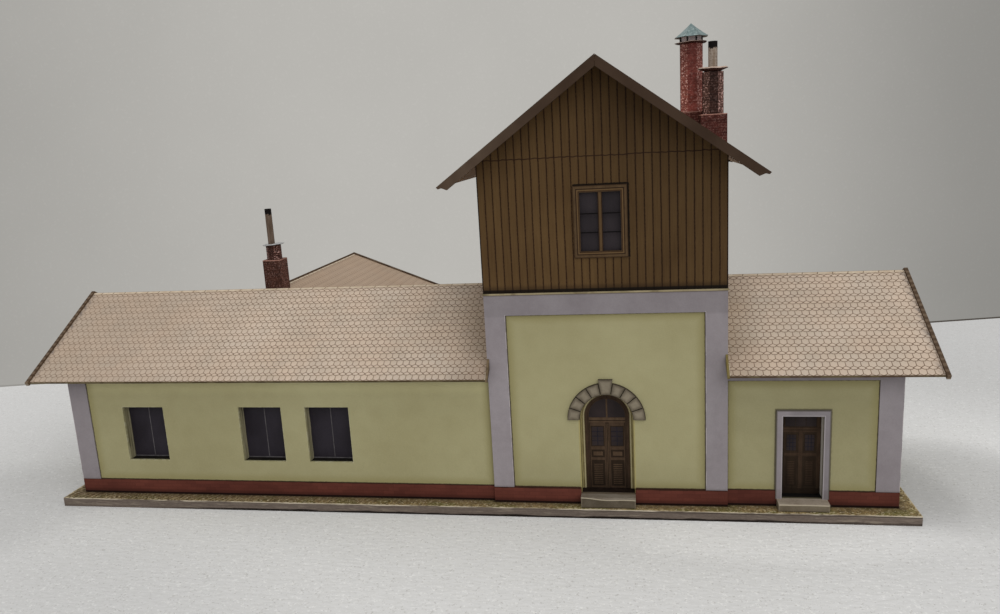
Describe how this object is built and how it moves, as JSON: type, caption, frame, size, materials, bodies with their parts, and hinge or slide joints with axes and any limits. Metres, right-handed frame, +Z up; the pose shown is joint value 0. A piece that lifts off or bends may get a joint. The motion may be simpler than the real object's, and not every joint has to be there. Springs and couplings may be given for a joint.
{
  "type": "paper model of a railway station building",
  "caption": "Card model of a small railway station: long low wings, a boarded tower with a gable roof, arched entrance, side door and brick chimneys on a thin base board.",
  "frame": {"origin": "centre of the base board's underside", "axes": "+Z up; +X along the building, to the right as seen from the entrance; the entrance front faces -Y and the rear wing +Y"},
  "size_m": [0.3444, 0.1536, 0.1752],
  "materials": {
    "board": "printed greyboard with a gravel print on top",
    "wall": "pale yellow-green printed plaster",
    "lilac": "lilac-grey printed pilasters and bands",
    "plinth": "red-brown printed plinth",
    "timber": "brown printed boarding",
    "roof": "beige-pink printed clipped tiles",
    "verge": "brown printed verge boards",
    "stone": "grey-beige printed stone",
    "door": "olive-brown printed door leaves",
    "glazing": "dark printed window panes",
    "brick": "red printed brickwork",
    "zinc": "blue-green printed sheet metal",
    "plate": "pale printed cover plates",
    "pipe": "rolled paper, sooty at the top",
    "post": "black printed posts"
  },
  "bodies": {
    "root": {"base_board": "board", "rear_base_board": "board", "wing_front_walls": "wall", "wing_rear_walls": "wall", "wing_end_walls": "wall", "rear_wing_side_walls": "wall", "rear_wing_gable_wall": "wall", "tower_front_wall": "wall", "tower_rear_wall": "wall", "tower_side_walls": "wall", "tower_pilasters": "lilac", "tower_bands": "lilac", "tower_deck": "wall", "timber_front_wall": "timber", "timber_rear_wall": "timber", "timber_side_walls": "timber", "loft_window_frames": "timber", "loft_window_panes": "glazing", "wing_front_slopes": "roof", "wing_rear_slopes": "roof", "rear_wing_left_slope": "roof", "rear_wing_right_slope": "roof", "tower_left_slope": "roof", "tower_right_slope": "roof", "tower_bargeboards": "verge", "wing_verge_boards": "verge", "eave_end_boards": "verge", "wing_plinths": "plinth", "tower_plinths": "plinth", "rear_wing_plinths": "plinth", "corner_pilasters": "lilac", "wing_bands": "lilac", "arch_stones": "stone", "entrance_reveal": "wall", "entrance_door": "door", "side_door_reveal": "lilac", "side_door": "door", "window_reveals": "wall", "window_panes": "glazing", "side_door_surround": "lilac", "door_steps": "stone", "left_stack": "brick", "left_stack_plate": "zinc", "short_stack": "brick", "short_stack_crown": "plate", "tall_stack": "brick", "tall_stack_collar": "plate", "stack_pipes": "pipe", "lantern_drum": "plate", "lantern_posts": "post", "tall_stack_cap": "zinc"}
  },
  "joints": []
}
